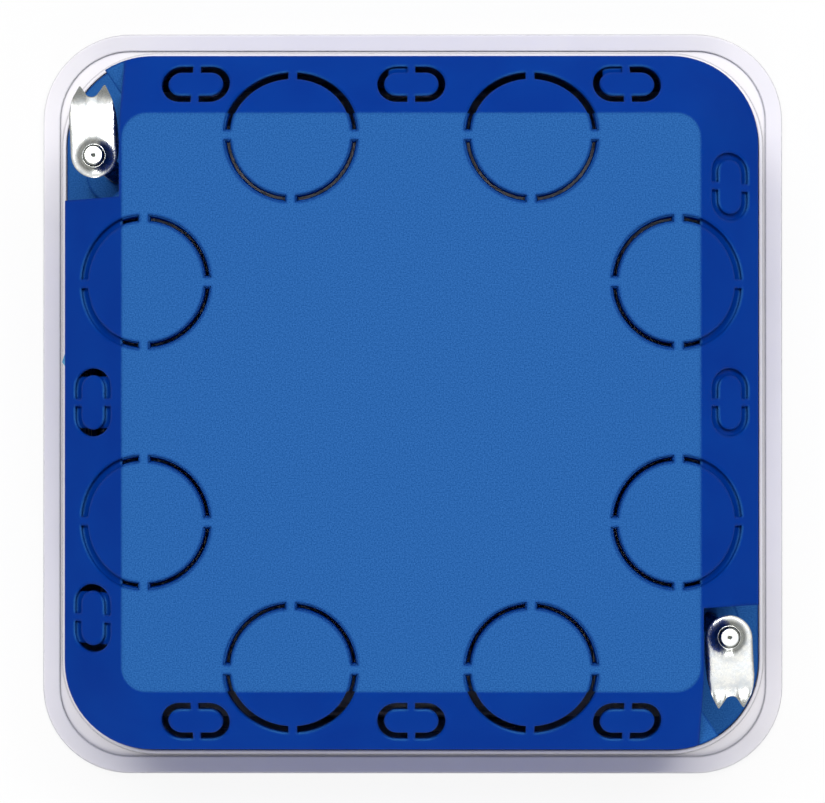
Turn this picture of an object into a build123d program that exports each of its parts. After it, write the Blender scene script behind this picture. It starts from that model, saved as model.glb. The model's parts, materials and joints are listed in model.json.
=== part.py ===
from build123d import *
import math
import os

# Hollow-wall junction box, lying face down on its lid.
# +Z runs from the lid's front face to the back of the box, and the origin is under its middle.
# +Y points to the end with the upper left claw, and +X to the right as seen from the back.

# Box, in millimetres
body_side = 103.0
body_depth = 47.0
wall = 1.8
corner_radius = 13.0
shoulder_run = 9.4
shoulder_drop = 10.4
flange_overhang = 3.3
flange_thickness = 1.6
flange_radius = 14.0

# Round knockouts, half on the back panel and half on the shoulder
ring_radius = 9.85
ring_slot = 1.1
ring_inset = 3.2
ring_pitch = 35.0
ring_bridge = 1.3

# Oblong knockouts on the shoulder
oblong_length = 10.0
oblong_width = 5.8
oblong_slot = 1.0
oblong_pitch = 31.7
oblong_bridge = 1.15

# Thin webs that close some of the slots on the shoulders, and how far under the surface they lie
groove_depth = 0.7
webbed_quarter = 3.4
open_end = 1.2

# Claw pockets, open to the outside at two opposite corners
pocket_margin = 0.5
pocket_length = 21.5
pocket_bevel_inset = 6.5
pocket_bevel_angle = 124.0
pocket_radius = 4.0
boss_radius = 4.8
boss_height = 2.8
screw_seat_thickness = 2.0

# Lid
lid_overhang = 3.8
lid_radius = 13.8
lid_plate = 1.8
lid_front_edge = 0.9
rim_land = 0.2
rim_dish = 0.6
rim_groove = 0.4
groove_drop = 0.3
ridge_thickness = 0.6
ridge_height = 1.4
rib_length = 36.0
rib_thickness = 1.2
rib_height = 4.5
rib_lead_in = 0.4

# Lid screws, the wells they sink into and the posts that take them
lid_screw_inset = 8.2
lid_screw_radius = 1.45
lid_screw_length = 16.0
well_depth = 2.1
well_floor = 1.7
well_wall = 1.0
post_radius = 3.3
post_web = 3.0
post_hole_depth = 18.0

# Claws and claw screws, both of them a little towards +Y in their pockets
claw_shift = 0.9
claw_screw_radius = 1.5
claw_screw_end = 4.2
screw_tip_stand = 0.8
claw_width = 7.2
claw_sheet = 1.0
claw_foot = 3.3
claw_reach = 9.7
claw_taper_start = 5.4
claw_ear_spread = 3.5
claw_ear_notch = 1.0
claw_ear_flare = 0.9
claw_ear_slope = 1.6
claw_ear_radius = 0.55
claw_bend_start = 6.6
claw_bend = 35.0
claw_bend_radius = 1.2
claw_lip_height = 2.0
claw_lip_start = 0.8
claw_lip_end = 5.1
claw_collar_radius = 2.6
claw_collar_height = 0.9

# Screw heads
head_radius = 2.75
head_height = 1.9
recess_width = 0.8
recess_length = 3.2
recess_depth = 1.1

# Clearances
running_gap = 0.05
lid_gap = 0.2
head_gap = 0.35
claw_side_gap = 0.5
claw_end_gap = 1.8

# How far a cutting shape runs past what it cuts
over = 5.0

# Heights and places that follow from the sizes above
flange_front = lid_plate
flange_back = flange_front + flange_thickness
flange_side = body_side + 2 * flange_overhang
lid_side = flange_side + 2 * lid_overhang
back = flange_front + body_depth
shoulder_start = back - shoulder_drop
shoulder_length = math.hypot(shoulder_run, shoulder_drop)
shoulder_lean = math.degrees(math.atan2(shoulder_run, shoulder_drop))
panel_half = body_side / 2 - shoulder_run
ring_offset = panel_half - ring_inset
inner_back = back - wall
inner_shoulder_start = (
    shoulder_start
    - wall * shoulder_run / shoulder_length
    + wall * (1 - shoulder_drop / shoulder_length) * shoulder_drop / shoulder_run
)
pocket_wall_x = panel_half + pocket_margin
pocket_end = body_side / 2 - pocket_length
pocket_bevel_start = body_side / 2 - pocket_bevel_inset
lid_screw_place = body_side / 2 - lid_screw_inset
claw_screw_x = pocket_wall_x + claw_side_gap + claw_width / 2
claw_screw_y = pocket_end + claw_end_gap + claw_width / 2
claw_places = {
    "upper_left": (-claw_screw_x, claw_shift + claw_screw_y, 0),
    "lower_right": (claw_screw_x, claw_shift - claw_screw_y, 180),
}
claw_screw_seat = flange_back + boss_height - screw_seat_thickness
claw_screw_length = back - claw_screw_end - claw_screw_seat
claw_base = claw_screw_seat + claw_screw_length - screw_tip_stand - claw_collar_height - claw_sheet
well_radius = head_radius + head_gap
well_top = well_depth + well_floor


def rounded_block(side, radius, low, high, lean=0.0):
    """A rounded square standing from low to high, its sides leaning in by lean degrees."""
    return extrude(Pos(0, 0, low) * RectangleRounded(side, side, radius), amount=high - low, taper=lean)


def prism(plan, low, high):
    return extrude(Pos(0, 0, low) * plan, amount=high - low)


def slab(x_low, x_high, y_low, y_high, z_low, z_high):
    middle = Pos((x_low + x_high) / 2, (y_low + y_high) / 2, (z_low + z_high) / 2)
    return middle * Box(x_high - x_low, y_high - y_low, z_high - z_low)


def both_corners(shape):
    """The shape at its corner, and its twin half a turn round."""
    return shape + Rot(0, 0, 180) * shape


def body_outside():
    walls = rounded_block(body_side, corner_radius, flange_front, shoulder_start)
    return walls + rounded_block(body_side, corner_radius, shoulder_start, back, shoulder_lean)


def body_cavity():
    """The hollow inside the walls and shoulder, run out past the mouth."""
    side = body_side - 2 * wall
    radius = corner_radius - wall
    walls = rounded_block(side, radius, flange_front - over, inner_shoulder_start)
    return walls + rounded_block(side, radius, inner_shoulder_start, inner_back, shoulder_lean)


def pocket_plan(grow=0.0):
    """Outline of the upper left claw pocket, grown for the wall that stands round it."""
    bevel = math.radians(pocket_bevel_angle)
    bend = Vector(-pocket_wall_x, pocket_bevel_start)
    far = Vector(math.cos(bevel), math.sin(bevel)) * corner_radius * 2 + bend
    outline = Polyline(
        (-pocket_wall_x, pocket_end), bend, far, (-body_side, far.Y), (-body_side, pocket_end), close=True
    )
    plan = make_face(outline)
    inner_corner = plan.vertices().sort_by_distance((-pocket_wall_x, pocket_end, 0))[0]
    plan = fillet(inner_corner, pocket_radius)
    return offset(plan, grow, kind=Kind.INTERSECTION) if grow else plan


def ring_cutter():
    """Slot ring of a round knockout centred on Z, in four arcs between its bridges."""
    bridges = Rectangle(ring_bridge, 3 * ring_radius) + Rectangle(3 * ring_radius, ring_bridge)
    ring = Circle(ring_radius) - Circle(ring_radius - ring_slot) - bridges
    return prism(ring, inner_shoulder_start, back + over)


def oblong_cutter():
    """Slot of an oblong knockout centred on Z and long along X, in two halves between its bridges."""
    outline = SlotOverall(oblong_length, oblong_width)
    island = SlotOverall(oblong_length - 2 * oblong_slot, oblong_width - 2 * oblong_slot)
    bridge = Rectangle(oblong_bridge, 2 * oblong_width)
    return prism(outline - island - bridge, inner_shoulder_start - over, back + over)


def oblong_web(turn, step):
    """Where a web closes an oblong's slot on that shoulder, or None where it is open all round."""
    low, high = inner_shoulder_start - over, back + over
    if turn == 0 and step >= 0:
        return slab(-webbed_quarter, 0, 0, oblong_width, low, high)
    if turn == 90:
        reach = oblong_length / 2 - open_end
        return slab(-reach, reach, -oblong_width, oblong_width, low, high)
    if turn == 270:
        return slab(-oblong_length, oblong_length, -oblong_width, oblong_width, low, high)
    return None


def knockout_cuts(outside):
    """Every knockout slot: cut through where it is open, and only into the skin where a web closes it."""
    skin = outside - Pos(0, 0, -groove_depth * shoulder_length / shoulder_run) * outside
    over_panel = slab(-body_side, body_side, -body_side, panel_half, inner_shoulder_start, back + over)
    over_shoulder = slab(-body_side, body_side, panel_half, body_side, inner_shoulder_start, back + over)
    oblong_offset = body_side / 2 - shoulder_run / 2
    cuts = []
    for turn in (0, 90, 180, 270):
        blind = turn in (90, 270)
        face = Rot(0, 0, turn)
        for along in (-ring_pitch / 2, ring_pitch / 2):
            ring = Pos(along, ring_offset, 0) * ring_cutter()
            if blind:
                cuts.append(face * (ring & over_panel))
                cuts.append(face * (ring & over_shoulder) & skin)
            else:
                cuts.append(face * ring)
        for step in (-1, 0) if blind else (-1, 0, 1):
            place = face * Pos(step * oblong_pitch, oblong_offset, 0)
            oblong = place * oblong_cutter()
            web = oblong_web(turn, step)
            if web is None:
                cuts.append(oblong)
                continue
            cuts.append(oblong & place * web & skin)
            if turn != 270:
                cuts.append(oblong - place * web)
    return cuts


def lid_post():
    """Screw post in the upper right corner, webbed to the corner of the wall."""
    place = Pos(lid_screw_place, lid_screw_place)
    web = place * Rot(0, 0, 45) * Pos(post_radius, 0) * Rectangle(2 * post_radius, post_web)
    return prism(place * Circle(post_radius) + web, well_top, back)


def box_body():
    outside = body_outside()
    body = outside + rounded_block(flange_side, flange_radius, flange_front, flange_back) - body_cavity()
    body += both_corners(prism(pocket_plan(wall), flange_front, back)) & outside
    body += both_corners(lid_post()) & outside

    body -= both_corners(prism(pocket_plan(), flange_back, back + over))
    body -= both_corners(slab(-body_side, -pocket_wall_x, pocket_end, body_side, shoulder_start, back + over))

    boss_top = flange_back + boss_height
    for x, y, turn in claw_places.values():
        body += prism(Pos(x, y) * Circle(boss_radius), flange_front, boss_top)
        body -= prism(Pos(x, y) * Circle(claw_screw_radius + running_gap), 0, boss_top + over)
        body -= prism(Pos(x, y) * Circle(well_radius), 0, claw_screw_seat)

    lid_axis = Pos(lid_screw_place, lid_screw_place)
    post_hole = prism(lid_axis * Circle(lid_screw_radius + running_gap), 0, well_top + post_hole_depth)
    body -= both_corners(post_hole)

    for cut in knockout_cuts(outside):
        body -= cut
    return body


def lid():
    plate = rounded_block(lid_side, lid_radius, 0, flange_back)
    plate = chamfer(plate.faces().sort_by(Axis.Z)[0].edges(), lid_front_edge)
    rim_width = lid_overhang - lid_gap - ridge_thickness - rim_groove
    hollow_side = lid_side - 2 * rim_width
    hollow_radius = lid_radius - rim_width
    dish_lean = math.degrees(math.atan2(rim_width - rim_land, rim_dish))
    dish_floor = flange_back - rim_dish
    plate -= rounded_block(hollow_side, hollow_radius, dish_floor, flange_back + rim_dish, -dish_lean)
    plate -= rounded_block(hollow_side, hollow_radius, dish_floor - groove_drop, flange_back)

    seat = RectangleRounded(flange_side + 2 * lid_gap, flange_side + 2 * lid_gap, flange_radius + lid_gap)
    plate += prism(offset(seat, ridge_thickness), lid_plate, lid_plate + ridge_height)
    plate -= prism(seat, lid_plate, flange_back)

    rib_top = lid_plate + rib_height
    rib_face = body_side / 2 - wall - lid_gap
    rib = slab(-rib_length / 2, rib_length / 2, rib_face - rib_thickness, rib_face, lid_plate, rib_top)
    rib = chamfer(rib.faces().sort_by(Axis.Z)[-1].edges().filter_by(Axis.X), rib_lead_in)
    for turn in (0, 90, 180, 270):
        plate += Rot(0, 0, turn) * rib

    axis = Pos(lid_screw_place, lid_screw_place)
    plate += both_corners(prism(axis * Circle(well_radius + well_wall), lid_plate / 2, well_top))
    plate -= both_corners(prism(axis * Circle(well_radius), -over, well_depth))
    plate -= both_corners(prism(axis * Circle(lid_screw_radius + running_gap), -over, well_top + over))
    return plate


def screw(shank_radius, length):
    """Screw standing on its head, with the head under z = 0 and the shank up to its length."""
    shank = prism(Circle(shank_radius), 0, length)
    cross = Rectangle(recess_length, recess_width) + Rectangle(recess_width, recess_length)
    head = prism(Circle(head_radius), -head_height, 0) - prism(cross, -over, recess_depth - head_height)
    return shank + head


def claw_plan():
    """Outline of the pressed claw: a round foot, straight sides and two ears with a notch between."""
    half = claw_width / 2
    ear = claw_ear_spread / 2
    foot_centre = half - claw_foot
    right = [
        (half, foot_centre), (half, claw_taper_start), (ear + claw_ear_flare, claw_reach - claw_ear_slope),
        (ear, claw_reach),
    ]
    left = [(-x, y) for x, y in reversed(right)]
    blade = make_face(Polyline(*right, (0, claw_reach - claw_ear_notch), *left, close=True))
    blade = fillet(blade.vertices().filter_by(lambda v: v.Y > claw_taper_start + 1), claw_ear_radius)
    return blade + Pos(0, foot_centre) * Circle(half)


def claw_side():
    """Side view of the sheet, level over the foot and bent down at the ears."""
    slope = math.tan(math.radians(claw_bend))
    thick = claw_sheet / math.cos(math.radians(claw_bend))
    end = claw_reach + 1
    drop = slope * (end - claw_bend_start)
    under_bend = claw_bend_start - (thick - claw_sheet) / slope
    profile = Polyline(
        (-claw_width, 0), (-claw_width, claw_sheet), (claw_bend_start, claw_sheet),
        (end, claw_sheet - drop), (end, claw_sheet - thick - drop), (under_bend, 0), close=True,
    )
    side = make_face(Plane.YZ * profile)
    return fillet(side.vertices().filter_by(lambda v: 0 < v.Y < end - 1), claw_bend_radius)


def claw():
    """Pressed steel claw with its screw hole on Z, its sheet on z = 0 and its ears towards +Y."""
    half = claw_width / 2
    blade = extrude(claw_side(), amount=claw_width, both=True) & prism(claw_plan(), -over, over)
    lip = slab(half - claw_sheet, half, claw_lip_start, claw_lip_end, -claw_lip_height, claw_sheet / 2)
    blade += lip + mirror(lip, about=Plane.YZ)
    blade += prism(Circle(claw_collar_radius), claw_sheet / 2, claw_sheet + claw_collar_height)
    return blade - prism(Circle(claw_screw_radius + running_gap), -over, over)


def at_claw_corner(shape, height, corner):
    x, y, turn = claw_places[corner]
    return Pos(x, y, height) * Rot(0, 0, turn) * shape


def at_lid_screw(shape, height, turn):
    return Rot(0, 0, turn) * Pos(lid_screw_place, lid_screw_place, height) * shape


pieces = {"box_body": box_body(), "lid": lid()}
for corner in claw_places:
    pieces["claw_" + corner] = at_claw_corner(claw(), claw_base, corner)
    claw_screw = screw(claw_screw_radius, claw_screw_length)
    pieces["claw_screw_" + corner] = at_claw_corner(claw_screw, claw_screw_seat, corner)
for corner, turn in {"upper_right": 0, "lower_left": 180}.items():
    lid_screw = screw(lid_screw_radius, lid_screw_length)
    pieces["lid_screw_" + corner] = at_lid_screw(lid_screw, well_depth, turn)

os.makedirs("parts", exist_ok=True)
for name, piece in pieces.items():
    piece.label = name
    export_step(piece, f"parts/{name}.step")
    print(name, len(piece.solids()), "solid,", round(piece.volume, 1), "cubic mm")
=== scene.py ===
# %% [markdown]
# This lesson dresses a hollow-wall junction box. The box lies face down on its white lid, and the
# camera looks straight down at its back, as an electrician sees it before it goes into the wall.
# The imported model gives every piece at its real size, in metres, with +Z from the lid to the back.
# We load it first, because nothing that follows moves or resizes it.

# %% Load the frame
import json
import math

import bmesh
import bpy
from mathutils import Matrix, Vector


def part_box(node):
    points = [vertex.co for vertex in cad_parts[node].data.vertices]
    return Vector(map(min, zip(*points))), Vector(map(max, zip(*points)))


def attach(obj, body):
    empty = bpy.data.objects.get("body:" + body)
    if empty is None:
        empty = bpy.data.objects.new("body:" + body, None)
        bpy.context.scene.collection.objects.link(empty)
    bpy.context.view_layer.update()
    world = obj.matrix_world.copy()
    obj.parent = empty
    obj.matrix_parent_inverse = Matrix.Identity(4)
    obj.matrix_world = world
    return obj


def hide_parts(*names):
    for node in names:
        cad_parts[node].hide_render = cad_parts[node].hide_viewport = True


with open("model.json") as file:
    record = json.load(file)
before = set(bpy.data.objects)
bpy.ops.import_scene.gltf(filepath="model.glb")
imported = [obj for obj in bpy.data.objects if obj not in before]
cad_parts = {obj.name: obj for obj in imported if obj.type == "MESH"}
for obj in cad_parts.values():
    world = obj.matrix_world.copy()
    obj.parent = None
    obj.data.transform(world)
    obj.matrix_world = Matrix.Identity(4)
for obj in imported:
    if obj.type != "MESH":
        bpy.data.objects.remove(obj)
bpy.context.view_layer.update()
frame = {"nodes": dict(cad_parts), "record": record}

MM = 0.001
scene = bpy.context.scene
scene.view_settings.view_transform = "Standard"
print("pieces in the frame:", sorted(frame["nodes"]))

# %% [markdown]
# Before any finish is chosen we place the camera, so that each look can be judged from where the
# photograph was taken. A long lens about half a metre away shows the knockouts almost without
# perspective, yet lets the white rim of the lid show all round the box. The camera stood a little
# to the right of the middle and a little low, so it does here too. Its turn is worked out from two
# small angles, because a tracking helper is free to roll a camera that looks straight down.

# %% Camera
back_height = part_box("box_body")[1].z
camera_distance = 0.5
camera_offset = Vector((2.55, -2.55)) * MM
camera_aim = Vector((0.2, 0.1)) * MM
camera_data = bpy.data.cameras.new("bench_camera")
camera_data.lens = 150.0
camera = bpy.data.objects.new("bench_camera", camera_data)
scene.collection.objects.link(camera)
camera.location = (*camera_offset, back_height + camera_distance)
lean = camera_aim - camera_offset
camera.rotation_euler = (math.atan(lean.y / camera_distance), -math.atan(lean.x / camera_distance), 0)
scene.camera = camera
print("camera", [round(v, 4) for v in camera.location], "lens", camera_data.lens)

# %% [markdown]
# The box stands on a plain pale floor. The floor and the world answer camera, glossy and
# transmission rays with white, so that the picture has a clean ground and the steel reflects it,
# while a diffuse share of the floor keeps the shadow under the rim of the lid. Steel needs
# something darker than white to look like steel, so for glossy rays the room darkens towards its
# skirting board. Three small helpers for the node trees come first, and a fourth that the floor
# and the world share.

# %% Floor and world
def link(tree, source, target):
    tree.links.new(source, target)


def calculate(tree, operation, first, second=0.0):
    """One step of arithmetic on numbers or sockets, in a shader tree or in a geometry tree."""
    node = tree.nodes.new("ShaderNodeMath")
    node.operation = operation
    for socket, value in ((node.inputs[0], first), (node.inputs[1], second)):
        if isinstance(value, (int, float)):
            socket.default_value = value
        else:
            link(tree, value, socket)
    return node.outputs[0]


def remap(tree, value, low, high, out_low, out_high):
    """Stretches the span from low to high onto another one, and holds still outside it."""
    node = tree.nodes.new("ShaderNodeMapRange")
    sizes = {"From Min": low, "From Max": high, "To Min": out_low, "To Max": out_high}
    for name, number in sizes.items():
        node.inputs[name].default_value = number
    link(tree, value, node.inputs["Value"])
    return node.outputs["Result"]


def ray_mask(tree):
    """One where the ray comes from the camera, a mirror or a glass, and zero elsewhere."""
    path = tree.nodes.new("ShaderNodeLightPath").outputs
    mirror = calculate(tree, "MAXIMUM", path["Is Glossy Ray"], path["Is Transmission Ray"])
    return calculate(tree, "MAXIMUM", path["Is Camera Ray"], mirror)


def make_world(ambient, skirting):
    world = bpy.data.worlds.new("pale_room")
    world.use_nodes = True
    tree = world.node_tree
    tree.nodes.clear()
    lit = tree.nodes.new("ShaderNodeBackground")
    lit.inputs["Strength"].default_value = ambient
    shown = tree.nodes.new("ShaderNodeBackground")
    for glow in (lit, shown):
        glow.inputs["Color"].default_value = (1, 1, 1, 1)
    direction = tree.nodes.new("ShaderNodeSeparateXYZ")
    link(tree, tree.nodes.new("ShaderNodeTexCoord").outputs["Generated"], direction.inputs[0])
    wall = remap(tree, direction.outputs["Z"], 0.0, 0.75, skirting, 1.0)
    from_camera = tree.nodes.new("ShaderNodeLightPath").outputs["Is Camera Ray"]
    link(tree, calculate(tree, "MAXIMUM", wall, from_camera), shown.inputs["Strength"])
    mix = tree.nodes.new("ShaderNodeMixShader")
    output = tree.nodes.new("ShaderNodeOutputWorld")
    link(tree, ray_mask(tree), mix.inputs[0])
    link(tree, lit.outputs[0], mix.inputs[1])
    link(tree, shown.outputs[0], mix.inputs[2])
    link(tree, mix.outputs[0], output.inputs["Surface"])
    scene.world = world


def make_floor(half_side, shadow_share):
    mesh = bpy.data.meshes.new("floor")
    corners = [(x * half_side, y * half_side, 0) for x, y in ((-1, -1), (1, -1), (1, 1), (-1, 1))]
    mesh.from_pydata(corners, [], [(0, 1, 2, 3)])
    floor = bpy.data.objects.new("floor", mesh)
    scene.collection.objects.link(floor)
    material = bpy.data.materials.new("pale_floor")
    material.use_nodes = True
    tree = material.node_tree
    tree.nodes.clear()
    paint = tree.nodes.new("ShaderNodeBsdfDiffuse")
    paint.inputs["Color"].default_value = (0.9, 0.9, 0.9, 1)
    glow = tree.nodes.new("ShaderNodeEmission")
    mix = tree.nodes.new("ShaderNodeMixShader")
    output = tree.nodes.new("ShaderNodeOutputMaterial")
    link(tree, calculate(tree, "MULTIPLY", ray_mask(tree), 1 - shadow_share), mix.inputs[0])
    link(tree, paint.outputs[0], mix.inputs[1])
    link(tree, glow.outputs[0], mix.inputs[2])
    link(tree, mix.outputs[0], output.inputs["Surface"])
    mesh.materials.append(material)


make_world(ambient=0.30, skirting=0.25)
make_floor(half_side=1.5, shadow_share=0.12)
print("world and floor:", scene.world.name)

# %% [markdown]
# The shadows say where the light was: the rim of the lid is brightest along the top of the picture
# and lies in the box's own shadow along the bottom, so the main lamp hangs high and a little beyond
# the top edge. The bottom slope still shines, so a weak lamp fills from the near side. Area lamps
# are used, because a lamp with a size gives soft shadow edges and lines of light on round edges.

# %% Lamps
def softbox(name, place, width, height, power):
    lamp = bpy.data.lights.new(name, "AREA")
    lamp.shape = "RECTANGLE"
    lamp.size = width
    lamp.size_y = height
    lamp.energy = power
    holder = bpy.data.objects.new(name, lamp)
    holder.location = place
    holder.rotation_euler = (-Vector(place)).to_track_quat("-Z", "Y").to_euler()
    scene.collection.objects.link(holder)


softbox("high_softbox", (0.01, 0.34, 1.05), 0.75, 0.30, 9.6)
softbox("near_fill", (0.05, -0.95, 0.50), 0.50, 0.50, 3.7)

# %% [markdown]
# A finish is a node tree that reads Object coordinates, so it stays put when a piece moves. A few
# small helpers keep the trees readable: one makes the shader, one samples a noise at a grain size
# given in millimetres, and others mix two colours, soften the edges and add relief.

# %% Material helpers
def new_finish(name):
    material = bpy.data.materials.new(name)
    material.use_nodes = True
    tree = material.node_tree
    tree.nodes.clear()
    shader = tree.nodes.new("ShaderNodeBsdfPrincipled")
    output = tree.nodes.new("ShaderNodeOutputMaterial")
    link(tree, shader.outputs["BSDF"], output.inputs["Surface"])
    coords = tree.nodes.new("ShaderNodeTexCoord")
    return material, tree, shader, coords.outputs["Object"]


def grain(tree, coords, size_mm, detail=2.0, stretch=(1, 1, 1)):
    """Noise whose lumps are about size_mm across, from 0 to 1."""
    mapping = tree.nodes.new("ShaderNodeMapping")
    mapping.inputs["Scale"].default_value = stretch
    noise = tree.nodes.new("ShaderNodeTexNoise")
    noise.inputs["Scale"].default_value = 1 / (size_mm * MM)
    noise.inputs["Detail"].default_value = detail
    link(tree, coords, mapping.inputs["Vector"])
    link(tree, mapping.outputs[0], noise.inputs["Vector"])
    return noise.outputs["Fac"]


def blend_colour(tree, mask, first, second):
    node = tree.nodes.new("ShaderNodeMix")
    node.data_type = "RGBA"
    ends = [socket for socket in node.inputs if socket.type == "RGBA"]
    for socket, colour in zip(ends, (first, second)):
        if isinstance(colour, tuple):
            socket.default_value = (*colour, 1)
        else:
            link(tree, colour, socket)
    link(tree, mask, node.inputs[0])
    return [socket for socket in node.outputs if socket.type == "RGBA"][0]


def soft_edges(tree, radius_mm):
    """The surface's direction with its sharp edges rounded, as seen by the light."""
    bevel = tree.nodes.new("ShaderNodeBevel")
    bevel.samples = 4
    bevel.inputs["Radius"].default_value = radius_mm * MM
    return bevel.outputs["Normal"]


def relief(tree, shader, height, depth_mm, strength, direction=None):
    """Bump of a real depth, over softened edges where their direction is given."""
    bump = tree.nodes.new("ShaderNodeBump")
    bump.inputs["Strength"].default_value = strength
    bump.inputs["Distance"].default_value = depth_mm * MM
    link(tree, height, bump.inputs["Height"])
    if direction:
        link(tree, direction, bump.inputs["Normal"])
    link(tree, bump.outputs["Normal"], shader.inputs["Normal"])


# %% [markdown]
# The blue moulding shows two finishes. Everything that looks up, the back panel and the floors of
# the claw pockets, is matt and finely speckled, as a spark-eroded tool leaves it, and is painted
# paler as well: a painted highlight for the sheen of the lamp overhead. What the tool would draw
# along, the shoulder and the walls, looks polished. We could mask the two by hand, but the rule is
# simply which way the surface faces, so the mask reads the direction that the Bevel node gives. It
# also turns up along every rounded upper edge, which paints the thin pale highlight lines beside the
# slots. The deep blue keeps almost no mirror shine, because it goes grey as soon as it reflects a
# white room.

# %% Blue plastic
speckle_size = 0.20
mould_edge = 0.75
LEVEL_FROM, LEVEL_FULL = 0.76, 0.93
# Painted highlight: the panel colours are paler than the polished blue, partly for the matt finish and
# partly as painted sheen.
PANEL_AND_SHEEN_DARK, PANEL_AND_SHEEN_LIGHT = (0.0095, 0.079, 0.282), (0.0315, 0.145, 0.438)
POLISHED_DARK, POLISHED_LIGHT = (0.0002, 0.034, 0.285), (0.0005, 0.041, 0.308)


def upward(tree, direction):
    """How far the softened surface faces up, from one for a level top to minus one underneath."""
    turn = tree.nodes.new("ShaderNodeVectorTransform")
    turn.vector_type = "NORMAL"
    turn.convert_from = "WORLD"
    turn.convert_to = "OBJECT"
    link(tree, direction, turn.inputs[0])
    split = tree.nodes.new("ShaderNodeSeparateXYZ")
    link(tree, turn.outputs[0], split.inputs[0])
    return split.outputs["Z"]


def blue_plastic():
    material, tree, shader, coords = new_finish("blue_plastic")
    direction = soft_edges(tree, mould_edge)
    # Painted highlight mask: every up-facing point, rounded upper edges included, takes the paler panel
    # colour.
    eroded_and_sheen = remap(tree, upward(tree, direction), LEVEL_FROM, LEVEL_FULL, 0, 1)
    speck = grain(tree, coords, speckle_size, 3.0)
    cloud = grain(tree, coords, 9.0, 2.0)
    panel = blend_colour(tree, remap(tree, speck, 0.32, 0.68, 0, 1), PANEL_AND_SHEEN_DARK, PANEL_AND_SHEEN_LIGHT)
    polished = blend_colour(tree, remap(tree, cloud, 0.3, 0.7, 0, 1), POLISHED_DARK, POLISHED_LIGHT)
    link(tree, blend_colour(tree, eroded_and_sheen, polished, panel), shader.inputs["Base Color"])
    smooth = remap(tree, cloud, 0.3, 0.7, 0.16, 0.22)
    extra = calculate(tree, "MULTIPLY", remap(tree, speck, 0.3, 0.7, 0.30, 0.42), eroded_and_sheen)
    link(tree, calculate(tree, "ADD", smooth, extra), shader.inputs["Roughness"])
    shader.inputs["Specular IOR Level"].default_value = 0.015
    relief(tree, shader, calculate(tree, "MULTIPLY", speck, eroded_and_sheen), 0.03, 0.6, direction)
    return material


# %% [markdown]
# Where the blue plastic crept out of the tool it is thinner than paper, and light comes through it,
# so it looks more like sky than like the box. It is a finish of its own.

# %% Thin blue flash
def thin_flash():
    material, tree, shader, coords = new_finish("thin_blue_flash")
    streak = grain(tree, coords, 0.4, 2.0)
    tone = blend_colour(tree, remap(tree, streak, 0.3, 0.7, 0, 1), (0.010, 0.20, 0.50), (0.06, 0.42, 0.66))
    link(tree, tone, shader.inputs["Base Color"])
    link(tree, remap(tree, streak, 0.3, 0.7, 0.25, 0.4), shader.inputs["Roughness"])
    relief(tree, shader, streak, 0.02, 0.4)
    return material


# %% [markdown]
# The lid is an ordinary white moulding, a little cool in tone. Its skin shows the very faint flow
# of the plastic. An edge that leans away is painted greyer than its slope alone would make it, and a
# narrow groove gets a painted soft shadow. Two masks place this painted shade: the softened
# direction once more, and the Ambient Occlusion node.

# %% White plastic
LID_BRIGHT, LID_SOFT, LID_SHADE = (0.95, 0.925, 0.95), (0.91, 0.885, 0.92), (0.40, 0.395, 0.43)


def openness(tree, distance_mm, low, high):
    """One on an open surface, falling to zero in inner corners and narrow grooves."""
    corner = tree.nodes.new("ShaderNodeAmbientOcclusion")
    corner.samples = 4
    corner.inputs["Distance"].default_value = distance_mm * MM
    return remap(tree, corner.outputs["AO"], low, high, 0, 1)


def white_plastic():
    material, tree, shader, coords = new_finish("white_plastic")
    direction = soft_edges(tree, 0.45)
    flow = grain(tree, coords, 14.0, 3.0)
    skin = grain(tree, coords, 0.6, 2.0)
    tone = blend_colour(tree, remap(tree, flow, 0.3, 0.7, 0, 1), LID_SOFT, LID_BRIGHT)
    # Painted shade: leaning edges and narrow grooves are coloured towards LID_SHADE.
    level = remap(tree, calculate(tree, "ABSOLUTE", upward(tree, direction)), 0.66, 0.95, 0, 1)
    open_share = remap(tree, openness(tree, 1.6, 0.35, 0.85), 0, 1, 0.72, 1)
    unshaded = calculate(tree, "MULTIPLY", level, open_share)
    link(tree, blend_colour(tree, unshaded, LID_SHADE, tone), shader.inputs["Base Color"])
    link(tree, remap(tree, skin, 0.3, 0.7, 0.30, 0.38), shader.inputs["Roughness"])
    shader.inputs["Specular IOR Level"].default_value = 0.25
    relief(tree, shader, skin, 0.01, 0.3, direction)
    return material


# %% [markdown]
# The claws and screws are steel with bright zinc. Pressing leaves faint lines along the sheet, and
# the plating is a touch cooler and duller where it pools. So colour, roughness and relief all
# wander. The steep flanks are painted darker, a painted dark reflection found by the surface's own
# direction, and the Ambient Occlusion node paints shade into the inner corners, such as round the
# collar.

# %% Zinc-plated steel
ZINC_BRIGHT, ZINC_DULL = (0.90, 0.90, 0.86), (0.62, 0.65, 0.67)
# Painted dark reflection for the flanks, and painted shade for the inner corners.
ZINC_FLANK_REFLECTION, ZINC_CORNER_SHADE = (0.20, 0.21, 0.18), (0.08, 0.09, 0.07)


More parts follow.
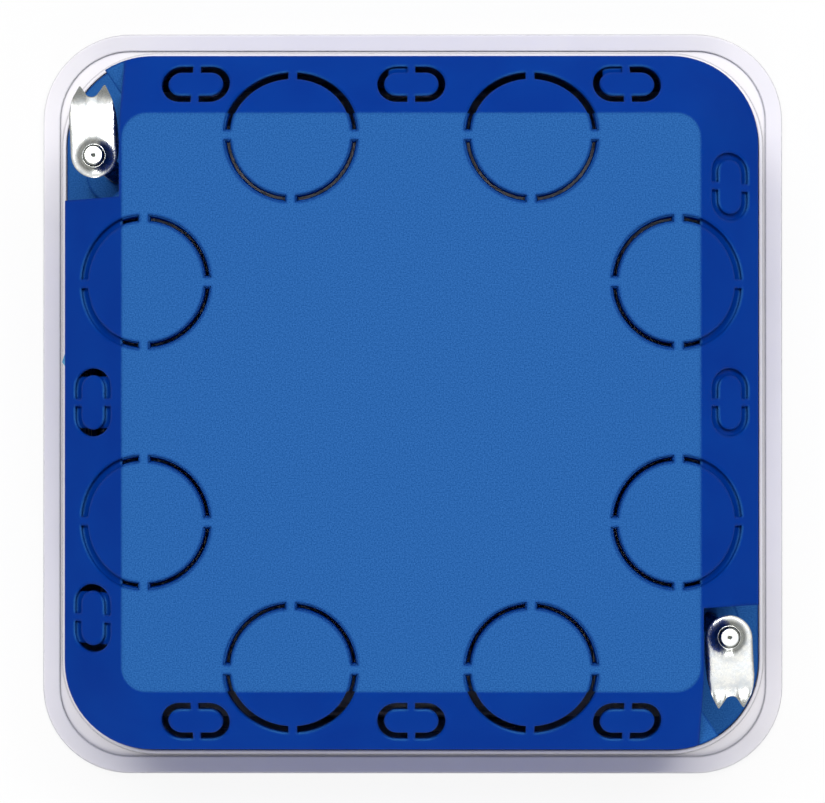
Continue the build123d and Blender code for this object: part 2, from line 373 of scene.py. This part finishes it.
def zinc(name, stretch, line_depth):
    material, tree, shader, coords = new_finish(name)
    pool = grain(tree, coords, 0.9, 4.0)
    lines = grain(tree, coords, 0.22, 3.0, stretch)
    tone = blend_colour(tree, remap(tree, pool, 0.35, 0.65, 0, 1), ZINC_BRIGHT, ZINC_DULL)
    split = tree.nodes.new("ShaderNodeSeparateXYZ")
    link(tree, tree.nodes.new("ShaderNodeTexCoord").outputs["Normal"], split.inputs[0])
    # Painted dark reflection on steep flanks, then painted shade in inner corners.
    level = remap(tree, calculate(tree, "ABSOLUTE", split.outputs["Z"]), 0.60, 0.96, 0, 1)
    tone = blend_colour(tree, level, ZINC_FLANK_REFLECTION, tone)
    unshaded = openness(tree, 1.8, 0.35, 0.85)
    link(tree, blend_colour(tree, unshaded, ZINC_CORNER_SHADE, tone), shader.inputs["Base Color"])
    shader.inputs["Metallic"].default_value = 1.0
    link(tree, remap(tree, pool, 0.3, 0.7, 0.18, 0.34), shader.inputs["Roughness"])
    relief(tree, shader, lines, line_depth, 0.5)
    return material


finishes = {
    "blue": blue_plastic(),
    "white": white_plastic(),
    "sheet": zinc("zinc_sheet", (1, 0.35, 1), 0.05),
    "screw": zinc("zinc_screw", (1, 1, 0.3), 0.01),
    "flash": thin_flash(),
}
print("finishes:", sorted(m.name for m in finishes.values()))

# %% [markdown]
# The body and the lid have their true shape already, down to every slot and groove, so they keep
# their meshes and only get their finish. The steps inside the slots are added further on.

# %% Dress the mouldings
def dress(node, material):
    slots = frame["nodes"][node].data.materials
    slots.clear()
    slots.append(material)


dress("box_body", finishes["blue"])
dress("lid", finishes["white"])

# %% [markdown]
# Four screws hold the real box together: two long machine screws that carry the claws, and two
# short coarse ones for the lid. A thread is a rule, not a shape to be drawn: the radius of a point
# depends only on its height and its turn. So one Geometry Nodes tree bends a flat grid into a tube,
# cuts the thread by that rule and tapers the tip, and its named inputs make all four screws from it.
# The tree's helpers come first.

# %% Geometry tree helpers
def geometry_node(tree, kind, wires=(), **settings):
    """A node with its settings, and its inputs linked or set from name and value pairs."""
    node = tree.nodes.new(kind)
    for name, value in settings.items():
        setattr(node, name, value)
    for name, value in wires:
        if isinstance(value, bpy.types.NodeSocket):
            link(tree, value, node.inputs[name])
        else:
            node.inputs[name].default_value = value
    return node


def steps(tree, start, *rest):
    """Chains arithmetic: each pair of an operation and a value is applied to the result so far."""
    result = start
    for operation, value in rest:
        result = calculate(tree, operation, result, value)
    return result


def join(tree, *shapes):
    node = tree.nodes.new("GeometryNodeJoinGeometry")
    for shape in reversed(shapes):
        link(tree, shape, node.inputs[0])
    return node.outputs[0]


def moved(tree, shape, axis_z):
    place = geometry_node(tree, "ShaderNodeCombineXYZ", (("Z", axis_z),))
    wires = (("Geometry", shape), ("Translation", place.outputs[0]))
    return geometry_node(tree, "GeometryNodeTransform", wires).outputs[0]


# %% [markdown]
# The shank is a grid with one column for each step round the screw and eight rows for each turn of
# thread. A triangle wave of height and turn together makes the thread climb, and two smaller limits
# close its ends: a chamfer at the tip and a shoulder under the head. The rows run on past the tip,
# where only their radius still shrinks, so the same grid closes the tip with a flat end and the
# small dimple that the cutting tool leaves. A fan of triangles closes the other end in the head.

# %% The threaded shank
SCREW_COLUMNS = 28
ROWS_PER_TURN = 8
TIP_SHARE = 0.97
DIMPLE = 0.35 * MM
MELT = 0.001 * MM


def threaded_shank(tree, size):
    core = calculate(tree, "SUBTRACT", size["Shank Radius"], size["Thread Depth"])
    tip = calculate(tree, "MULTIPLY", core, TIP_SHARE)
    whole = calculate(tree, "ADD", size["Length"], tip)
    rows = steps(tree, whole, ("DIVIDE", size["Thread Pitch"]), ("MULTIPLY", ROWS_PER_TURN), ("ADD", 1))
    grid = geometry_node(tree, "GeometryNodeMeshGrid", (
        ("Size X", 1.0), ("Size Y", 1.0), ("Vertices X", SCREW_COLUMNS + 1), ("Vertices Y", rows)))
    place = geometry_node(tree, "ShaderNodeSeparateXYZ", (
        ("Vector", tree.nodes.new("GeometryNodeInputPosition").outputs[0]),))
    turn = calculate(tree, "ADD", place.outputs["X"], 0.5)
    height = steps(tree, place.outputs["Y"], ("ADD", 0.5), ("MULTIPLY", whole))
    wave = steps(tree, height, ("DIVIDE", size["Thread Pitch"]), ("SUBTRACT", turn), ("FRACT", 0.0),
                 ("MULTIPLY", 2.0), ("SUBTRACT", 1.0), ("ABSOLUTE", 0.0), ("MULTIPLY", size["Thread Depth"]))
    thread = calculate(tree, "SUBTRACT", size["Shank Radius"], wave)
    to_end = calculate(tree, "SUBTRACT", whole, height)
    radius = steps(tree, thread, ("MINIMUM", calculate(tree, "ADD", core, height)), ("MINIMUM", to_end))
    dimple = steps(tree, DIMPLE, ("SUBTRACT", radius), ("MAXIMUM", 0.0))
    level = calculate(tree, "SUBTRACT", calculate(tree, "MINIMUM", height, size["Length"]), dimple)
    angle = calculate(tree, "MULTIPLY", turn, math.tau)
    bent = geometry_node(tree, "ShaderNodeCombineXYZ", (
        ("X", calculate(tree, "MULTIPLY", radius, calculate(tree, "COSINE", angle))),
        ("Y", calculate(tree, "MULTIPLY", radius, calculate(tree, "SINE", angle))),
        ("Z", level)))
    tube = geometry_node(tree, "GeometryNodeSetPosition", (
        ("Geometry", grid.outputs["Mesh"]), ("Position", bent.outputs[0])))
    fan = geometry_node(tree, "GeometryNodeMeshCircle", (
        ("Vertices", SCREW_COLUMNS), ("Radius", core)), fill_type="TRIANGLE_FAN")
    back_to_back = geometry_node(tree, "GeometryNodeFlipFaces", (("Mesh", fan.outputs[0]),))
    weld = geometry_node(tree, "GeometryNodeMergeByDistance", (
        ("Geometry", join(tree, tube.outputs[0], back_to_back.outputs[0])), ("Distance", MELT)))
    return weld.outputs[0]


# %% [markdown]
# The pan head starts as a cylinder with a few rings up its side. Its radius shrinks towards the
# free face and the face itself is lifted in the middle, which gives the soft crown of a pressed
# head, and a cross of two small blocks is cut out of it for the driver.

# %% The pan head
CROWN_SHRINK, CROWN_LIFT = 0.16, 0.14


def pan_head(tree, size):
    blank = geometry_node(tree, "GeometryNodeMeshCylinder", (
        ("Vertices", 40), ("Side Segments", 6), ("Fill Segments", 4),
        ("Radius", size["Head Radius"]), ("Depth", size["Head Height"])))
    place = geometry_node(tree, "ShaderNodeSeparateXYZ", (
        ("Vector", tree.nodes.new("GeometryNodeInputPosition").outputs[0]),))
    rise = steps(tree, 0.5, ("SUBTRACT", calculate(tree, "DIVIDE", place.outputs["Z"], size["Head Height"])))
    shrink = calculate(tree, "SUBTRACT", 1.0, steps(tree, rise, ("POWER", 4.0), ("MULTIPLY", CROWN_SHRINK)))
    span = steps(tree, calculate(tree, "POWER", place.outputs["X"], 2.0),
                 ("ADD", calculate(tree, "POWER", place.outputs["Y"], 2.0)), ("POWER", 0.5),
                 ("DIVIDE", size["Head Radius"]), ("POWER", 2.0))
    lift = steps(tree, span, ("MULTIPLY", rise), ("MULTIPLY", size["Head Height"]),
                 ("MULTIPLY", CROWN_LIFT))
    crown = geometry_node(tree, "ShaderNodeCombineXYZ", (
        ("X", calculate(tree, "MULTIPLY", place.outputs["X"], shrink)),
        ("Y", calculate(tree, "MULTIPLY", place.outputs["Y"], shrink)),
        ("Z", calculate(tree, "ADD", place.outputs["Z"], lift))))
    head = geometry_node(tree, "GeometryNodeSetPosition", (
        ("Geometry", blank.outputs["Mesh"]), ("Position", crown.outputs[0])))
    middle = calculate(tree, "MULTIPLY", size["Head Height"], -0.5)
    head = moved(tree, head.outputs[0], middle)
    cut = geometry_node(tree, "GeometryNodeMeshBoolean", (("Mesh 1", head),), operation="DIFFERENCE")
    depth = calculate(tree, "MULTIPLY", size["Recess Depth"], 2.0)
    face = calculate(tree, "MULTIPLY", size["Head Height"], -1.0)
    for across, along in (("Recess Length", "Recess Width"), ("Recess Width", "Recess Length")):
        extent = geometry_node(tree, "ShaderNodeCombineXYZ", (
            ("X", size[across]), ("Y", size[along]), ("Z", depth)))
        block = geometry_node(tree, "GeometryNodeMeshCube", (("Size", extent.outputs[0]),))
        link(tree, moved(tree, block.outputs["Mesh"], face), cut.inputs["Mesh 2"])
    return cut.outputs["Mesh"]


# %% [markdown]
# The tree joins shank and head, moves them to the screw's place, and ends with Realize Instances
# and Set Material. Each modifier gets its sizes by the sockets' identifiers before it is first
# evaluated, and the result becomes a plain mesh that rides on the body of the CAD screw.

# %% The screw tree
SCREW_INPUTS = ("Length", "Shank Radius", "Thread Pitch", "Thread Depth", "Head Radius", "Head Height",
                "Recess Length", "Recess Width", "Recess Depth")


def screw_tree(material):
    tree = bpy.data.node_groups.new("machine_screw", "GeometryNodeTree")
    tree.is_modifier = True
    tree.interface.new_socket("Geometry", in_out="OUTPUT", socket_type="NodeSocketGeometry")
    for name in SCREW_INPUTS:
        tree.interface.new_socket(name, in_out="INPUT", socket_type="NodeSocketFloat")
    tree.interface.new_socket("Place", in_out="INPUT", socket_type="NodeSocketVector")
    size = tree.nodes.new("NodeGroupInput").outputs
    both = join(tree, threaded_shank(tree, size), pan_head(tree, size))
    placed = geometry_node(tree, "GeometryNodeTransform", (
        ("Geometry", both), ("Translation", size["Place"])))
    real = geometry_node(tree, "GeometryNodeRealizeInstances", (("Geometry", placed.outputs[0]),))
    finished = geometry_node(tree, "GeometryNodeSetMaterial", (
        ("Geometry", real.outputs[0]), ("Material", material)))
    output = tree.nodes.new("NodeGroupOutput")
    link(tree, finished.outputs[0], output.inputs["Geometry"])
    return tree


def settled(holder, name, crease_deg):
    """Takes the holder's live modifiers into a plain mesh of that name, smooth up to the crease."""
    graph = bpy.context.evaluated_depsgraph_get()
    mesh = bpy.data.meshes.new_from_object(holder.evaluated_get(graph))
    mesh.name = name
    mesh.shade_smooth()
    mesh.set_sharp_from_angle(angle=math.radians(crease_deg))
    bpy.data.objects.remove(holder)
    piece = bpy.data.objects.new(name, mesh)
    scene.collection.objects.link(piece)
    return piece


def node_body(node):
    return next(body for body, nodes in frame["record"]["behaviour"]["bodies"].items() if node in nodes)


# %% [markdown]
# The claw screws are M3 with its usual half-millimetre pitch, and the lid screws have a coarser
# thread that bites into a plain plastic post. Length and place come from the boxes of the CAD
# screws. The radii and the heads repeat the sizes of the CAD model, and the threads are a guess.

# %% Make the four screws
SCREW_HEAD = {"Head Radius": 2.75 * MM, "Head Height": 1.9 * MM, "Recess Length": 3.2 * MM,
              "Recess Width": 0.8 * MM, "Recess Depth": 1.1 * MM}
SCREW_KINDS = {
    "claw_screw": {"Shank Radius": 1.5 * MM, "Thread Pitch": 0.5 * MM, "Thread Depth": 0.22 * MM},
    "lid_screw": {"Shank Radius": 1.45 * MM, "Thread Pitch": 1.1 * MM, "Thread Depth": 0.30 * MM},
}


def make_screw(node, kind, tree):
    low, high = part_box(node)
    size = {**SCREW_HEAD, **SCREW_KINDS[kind]}
    size["Length"] = high.z - low.z - size["Head Height"]
    size["Place"] = ((low.x + high.x) / 2, (low.y + high.y) / 2, low.z + size["Head Height"])
    holder = bpy.data.objects.new("holder", bpy.data.meshes.new("holder"))
    scene.collection.objects.link(holder)
    modifier = holder.modifiers.new("screw", "NODES")
    modifier.node_group = tree
    for socket in tree.interface.items_tree:
        if socket.in_out == "INPUT":
            modifier[socket.identifier] = size[socket.name]
    screw = settled(holder, "threaded_" + node, 35)
    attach(screw, node_body(node))
    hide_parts(node)
    return screw


SCREW_CORNERS = {
    "claw_screw": ("upper_left", "lower_right"),
    "lid_screw": ("upper_right", "lower_left"),
}
shared_tree = screw_tree(finishes["screw"])
for kind, corners in SCREW_CORNERS.items():
    for corner in corners:
        made = make_screw(f"{kind}_{corner}", kind, shared_tree)
        print(made.name, len(made.data.polygons), "faces,", round(made.dimensions.z / MM, 1), "mm long")

# %% [markdown]
# A claw is one piece of pressed sheet. A punch drew its collar up out of the sheet round the screw,
# the long edges were rolled down into two lips that run in the pocket, and the two ears were bent
# down to bite into the plasterboard. It could be modelled by hand, but every part of it follows from
# its outline, so we sweep one closed profile round the screw hole: up the collar, out over the
# sheet, round the rolled edge and back along the underside. First comes the outline.

# %% Outline of the claw
CLAW_HALF = 3.5
CLAW_FOOT = 3.2
EAR_X, EAR_TIP, EAR_NOTCH = 1.85, 10.8, 8.7
EAR_FLARE, EAR_SHOULDER = 3.0, 8.4
TAPER_START = 6.2
SIDE_ROUNDING, TIP_ROUNDING = 0.9, 0.35


def rounded(points, radius, count):
    """The open polyline with its inner corners rounded, as evenly spaced as they allow."""
    result = [Vector(points[0])]
    for before, corner, after in zip(points, points[1:], points[2:]):
        corner = Vector(corner)
        back = (Vector(before) - corner).normalized() * radius
        ahead = (Vector(after) - corner).normalized() * radius
        for step in range(count + 1):
            t = step / count
            result.append(corner + back * (1 - t) ** 2 + ahead * t ** 2)
    return result + [Vector(points[-1])]


def claw_outline():
    """The whole outline counterclockwise from the right side, millimetres from the screw's axis."""
    centre = CLAW_HALF - CLAW_FOOT
    side = rounded([(CLAW_HALF, centre), (CLAW_HALF, TAPER_START), (EAR_FLARE, EAR_SHOULDER),
                    (EAR_X, EAR_TIP)], SIDE_ROUNDING, 4)
    notch_side = (0.7, EAR_NOTCH + 0.25)
    tip = rounded([side[-2], (EAR_X, EAR_TIP), notch_side, (0, EAR_NOTCH)], TIP_ROUNDING, 3)[1:-1]
    straight = [Vector((CLAW_HALF, centre + (TAPER_START - 1.2 - centre) * t)) for t in (0.2, 0.4, 0.6, 0.8)]
    right = side[:1] + straight + side[1:-1] + tip
    left = [Vector((-p.x, p.y)) for p in reversed(right)]
    foot = [Vector((CLAW_HALF * math.cos(a), centre + CLAW_HALF * math.sin(a)))
            for a in (math.pi + math.pi * k / 16 for k in range(1, 16))]
    return right + [Vector((0, EAR_NOTCH + 0.05))] + left + foot


outline = claw_outline()
print("claw outline of", len(outline), "points")

# %% [markdown]
# Each outline point gets its own copy of the profile. Two numbers change round the outline: how far
# the edge is rolled, least on the narrow ears, and whether a lip hangs from it. The ears come last,
# as a smooth shear that starts beyond the lips, because bending a finished sheet is what the press
# does too.

# %% Profile of the claw
SHEET = 0.8
COLLAR_TOP = 0.9
BORE, COLLAR_RIM, COLLAR_FOOT = 1.53, 1.72, 2.95
ROLL_RADIUS = 0.85
ROLL_EAR, ROLL_LEAST, ROLL_MOST = 8.0, 36.0, 48.0
LIP_START, LIP_END, LIP_DEPTH = 0.8, 5.3, 1.9
LIP_EASE = 1.5
PANEL_SIDE_DROOP = 0.25
BEND_START, BEND_SLOPE, BEND_EASE = 8.3, math.tan(math.radians(45)), 0.7
REST_LEAN = math.radians(3)


def ease(value, low, high):
    t = min(max((value - low) / (high - low), 0), 1)
    return t * t * (3 - 2 * t)


def collar_height(x, y):
    """The trumpet round the hole: steep at its rim, and flowing into the sheet at its foot."""
    t = min(max((math.hypot(x, y) - COLLAR_RIM) / (COLLAR_FOOT - COLLAR_RIM), 0), 1)
    return COLLAR_TOP * (1 - t) ** 1.7


def sheet_drop(x, y):
    """How far the sheet lies under its middle: bent down at the ears, and drooping to the panel."""
    d = y - BEND_START
    ears = BEND_SLOPE * (math.sqrt(d * d + BEND_EASE * BEND_EASE) + d) / 2
    return ears + PANEL_SIDE_DROOP * (max(x, 0) / CLAW_HALF) ** 2


def claw_profile(edge, outward):
    """The closed profile through one outline point, as a list of positions round the section."""
    has_lip = ease(edge.y, LIP_START - LIP_EASE, LIP_START + LIP_EASE)
    has_lip *= ease(-edge.y, -LIP_END - LIP_EASE, LIP_EASE - LIP_END)
    has_lip *= ease(abs(edge.x), CLAW_HALF - 0.6, CLAW_HALF - 0.1)
    on_ear = ease(edge.y, EAR_SHOULDER - 1.6, EAR_SHOULDER + 0.4)
    roll = ROLL_LEAST + (ROLL_MOST - ROLL_LEAST) * has_lip
    roll = math.radians(roll + (ROLL_EAR - roll) * on_ear)
    start = edge - outward * ROLL_RADIUS * math.sin(roll)
    inner_radius = ROLL_RADIUS - SHEET
    ray = start.normalized()
    points = [(ray * BORE, 0.0), (ray * BORE, SHEET + COLLAR_TOP - 0.12),
              (ray * (BORE + 0.1), SHEET + COLLAR_TOP)]
    for t in (0.0, 0.12, 0.25, 0.4, 0.6, 0.8, 1.0):
        spot = (ray * COLLAR_RIM).lerp(start, t)
        points.append((spot, SHEET + collar_height(*spot)))
    for step in range(1, 6):
        angle = roll * step / 5
        spot = start + outward * ROLL_RADIUS * math.sin(angle)
        points.append((spot, SHEET - ROLL_RADIUS * (1 - math.cos(angle)) + collar_height(*spot)))
    rolled = SHEET - ROLL_RADIUS * (1 - math.cos(roll))
    hang = max(rolled + LIP_DEPTH, 0) * has_lip
    inner = edge - outward * SHEET * math.sin(roll)
    under = rolled - SHEET * math.cos(roll)
    for spot, top in ((edge, rolled), (inner, under)):
        rim = [(spot, top - hang * 0.9), (spot, top - hang)]
        points += rim if spot is edge else rim[::-1]
    for step in (4, 2, 0):
        angle = roll * step / 5
        spot = start + outward * inner_radius * math.sin(angle)
        points.append((spot, SHEET - ROLL_RADIUS + inner_radius * math.cos(angle)))
    points += [(start.lerp(ray * BORE, t), 0.0) for t in (0.35, 0.7, 0.94)]
    return [Vector((spot.x, spot.y, z - sheet_drop(spot.x, spot.y))) for spot, z in points]


# %% [markdown]
# The profiles are joined into a closed skin, a ring of quads that comes back to its own start, and
# a Subdivision Surface rounds what the few points leave angular. The press turned both claws the
# same way round, so the second is the first after half a turn. In the photograph both lean a little
# in their pockets, so here they are turned by that small angle about their screws.

# %% Make the claws
def claw_mesh(name, axis, base, turn):
    count = len(outline)
    profiles = []
    for i, edge in enumerate(outline):
        along = outline[(i + 1) % count] - outline[i - 1]
        profiles.append(claw_profile(edge, Vector((along.y, -along.x)).normalized()))
    rows = len(profiles[0])
    turned = Matrix.Translation((axis.x, axis.y, base)) @ Matrix.Rotation(turn + REST_LEAN, 4, "Z")
    vertices = [turned @ (p * MM) for ring in profiles for p in ring]
    faces = []
    for i in range(count):
        for k in range(rows):
            here, there = i * rows, ((i + 1) % count) * rows
            faces.append((here + k, here + (k + 1) % rows, there + (k + 1) % rows, there + k))
    mesh = bpy.data.meshes.new(name)
    mesh.from_pydata(vertices, [], [tuple(reversed(face)) for face in faces])
    mesh.materials.append(finishes["sheet"])
    return mesh


def make_claw(corner, turn):
    node = "claw_" + corner
    screw_low, screw_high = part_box("claw_screw_" + corner)
    axis = (screw_low + screw_high) / 2
    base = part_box(node)[1].z - (SHEET + COLLAR_TOP) * MM
    holder = bpy.data.objects.new("holder", claw_mesh("holder", axis, base, turn))
    scene.collection.objects.link(holder)
    smooth = holder.modifiers.new("rounding", "SUBSURF")
    smooth.levels = smooth.render_levels = 2
    claw = settled(holder, "pressed_" + node, 50)
    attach(claw, node_body(node))
    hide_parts(node)
    return claw


for corner, turn in (("upper_left", 0.0), ("lower_right", math.pi)):
    made = make_claw(corner, turn)
    print(made.name, len(made.data.polygons), "faces, size", [round(v / MM, 2) for v in made.dimensions])

# %% [markdown]
# On the back panel the photograph shows a thin line along both edges of each round knockout's slot,
# and a darker middle. We read that as a step: a wide shallow groove that shows where to break, with
# a narrower gap in its middle. The step's own sizes are a guess, and the sizes of the panel and the
# rings repeat those of the CAD model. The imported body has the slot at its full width. We line it
# with one closed band round each quarter of a slot that lies on the panel, and an open one where
# the quarter runs off its edge. The outline of a quarter is two arcs, so a function draws it at any
# distance from the slot's wall.

# %% Steps in the slots
PANEL_HALF = 42.1
RING_INSET, RING_PITCH = 3.2, 35.0
RING_RADIUS, RING_SLOT, RING_BRIDGE = 9.85, 1.1, 1.3
STEP_OUTER, STEP_INNER, STEP_END = 0.22, 0.16, 0.18
BURIED = -0.15
STEP_PROFILE = ((BURIED, -0.34), (0.8, -0.36), (1.0, -0.46), (1.9, -1.6), (BURIED, -1.6))
ARC_STEPS = 12


def quarter_edge(share, runs_off):
    """A quarter slot's edge, moved in by a share of the step, in the first quadrant of its ring."""
    end = RING_BRIDGE / 2 + share * STEP_END
    points = []
    for radius, inward in ((RING_RADIUS - share * STEP_OUTER, True),
                           (RING_RADIUS - RING_SLOT + share * STEP_INNER, False)):
        first = math.asin(end / radius)
        last = math.asin(RING_INSET / radius) if runs_off else math.pi / 2 - first
        arc = [first + (last - first) * k / ARC_STEPS for k in range(ARC_STEPS + 1)]
        if inward:
            arc.reverse()
        points += [Vector((radius * math.cos(a), radius * math.sin(a))) for a in arc]
    return points


def quarter_step(mesh, runs_off, place):
    """Adds one band to the mesh, closed round its quarter unless the quarter runs off the panel."""
    rows = [[mesh.verts.new(place(point, level)) for point in quarter_edge(share, runs_off)]
            for share, level in STEP_PROFILE]
    count = len(rows[0])
    for k, row in enumerate(rows):
        next_row = rows[(k + 1) % len(rows)]
        for i in range(count - 1 if runs_off else count):
            j = (i + 1) % count
            mesh.faces.new((row[i], row[j], next_row[j], next_row[i]))
    if runs_off:
        for end in (0, -1):
            mesh.faces.new([row[end] for row in rows])


def make_slot_steps():
    mesh = bmesh.new()
    for turn in range(4):
        face = Matrix.Rotation(turn * math.pi / 2, 3, "Z")
        for along in (-RING_PITCH / 2, RING_PITCH / 2):
            for side_x, side_y in ((1, -1), (-1, -1), (1, 1), (-1, 1)):
                def place(point, level):
                    x = along + side_x * point.x
                    y = PANEL_HALF - RING_INSET + side_y * point.y
                    return face @ Vector((x, y, back_height / MM + level)) * MM
                quarter_step(mesh, side_y > 0, place)
    bmesh.ops.recalc_face_normals(mesh, faces=mesh.faces)
    data = bpy.data.meshes.new("slot_steps")
    mesh.to_mesh(data)
    mesh.free()
    data.materials.append(finishes["blue"])
    steps_piece = bpy.data.objects.new("slot_steps", data)
    scene.collection.objects.link(steps_piece)
    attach(steps_piece, "box")
    return steps_piece


print("slot steps", len(make_slot_steps().data.polygons), "faces")

# %% [markdown]
# The photograph shows a thin pale blue sliver on the left edge of the flange. We take it for flash,
# a little plastic that crept out where the two halves of the tool meet and was never trimmed. It is
# a flat tapering ribbon, so a few points along its edge are enough.

# %% Moulding flash
FLASH_TOP, FLASH_BOTTOM = 8.3, -4.2
FLASH_SHOULDER = 6.6
FLASH_WIDTH, FLASH_TAIL = 0.85, 0.16
FLASH_THICK = 0.12
RIDGE_TOP, LIFT = 3.2, 0.02
ROOTED = 0.1


def make_flash():
    flange_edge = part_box("box_body")[0].x / MM
    spine = [FLASH_TOP, FLASH_TOP - 0.5, FLASH_SHOULDER, FLASH_SHOULDER - 0.8, 2.0, FLASH_BOTTOM]
    widths = [0.05, 0.45, FLASH_WIDTH, FLASH_TAIL * 1.6, FLASH_TAIL, 0.05]
    vertices = []
    for y, width in zip(spine, widths):
        for x, z in ((ROOTED, RIDGE_TOP + LIFT), (ROOTED, RIDGE_TOP + FLASH_THICK),
                     (-width, RIDGE_TOP + FLASH_THICK), (-width, RIDGE_TOP + LIFT)):
            vertices.append(((flange_edge + x) * MM, y * MM, z * MM))
    faces = [(3, 2, 1, 0)]
    for row in range(len(spine) - 1):
        for k in range(4):
            here, there = row * 4, row * 4 + 4
            faces.append((here + k, here + (k + 1) % 4, there + (k + 1) % 4, there + k))
    last = 4 * len(spine) - 4
    faces.append((last, last + 1, last + 2, last + 3))
    mesh = bpy.data.meshes.new("flange_flash")
    mesh.from_pydata(vertices, [], faces)
    mesh.materials.append(finishes["flash"])
    flash = bpy.data.objects.new("flange_flash", mesh)
    scene.collection.objects.link(flash)
    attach(flash, "box")
    return flash


print("flash", [round(v / MM, 2) for v in make_flash().dimensions])
